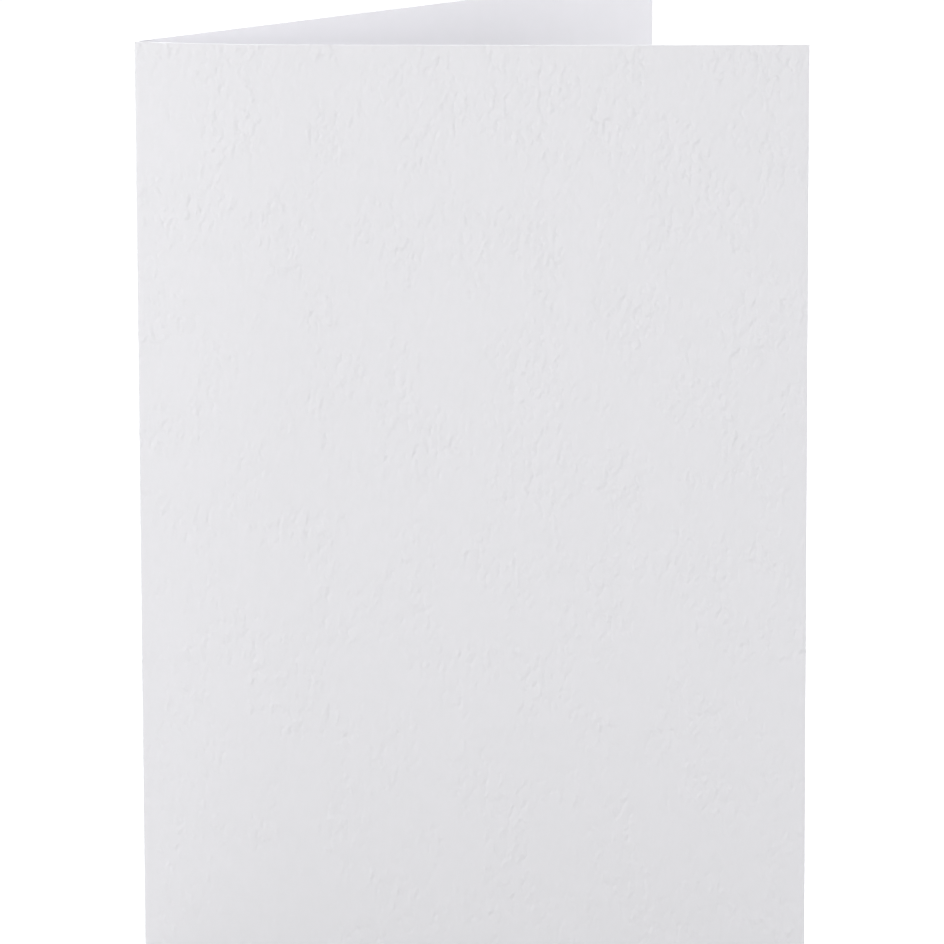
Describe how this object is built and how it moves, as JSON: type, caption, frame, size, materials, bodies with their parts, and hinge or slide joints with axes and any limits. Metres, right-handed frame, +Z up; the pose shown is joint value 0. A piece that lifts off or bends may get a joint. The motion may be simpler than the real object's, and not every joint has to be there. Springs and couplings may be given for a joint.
{
  "type": "greeting card",
  "caption": "Blank white folded greeting card in embossed stock, standing half open on its cut edges, with a scored upright fold on the left.",
  "frame": {"origin": "foot of the fold, on the line that the sheet bends about, in the plane that the card stands on", "axes": "+Z up the fold; +X to the right along the front panel's chord, from the fold to its free edge; +Y back towards the rear panel, so that the front panel's outside faces -Y"},
  "size_m": [0.1049, 0.0729, 0.148],
  "materials": {
    "card_stock": "matte"
  },
  "bodies": {
    "root": {"folded_card": "card_stock"}
  },
  "joints": []
}
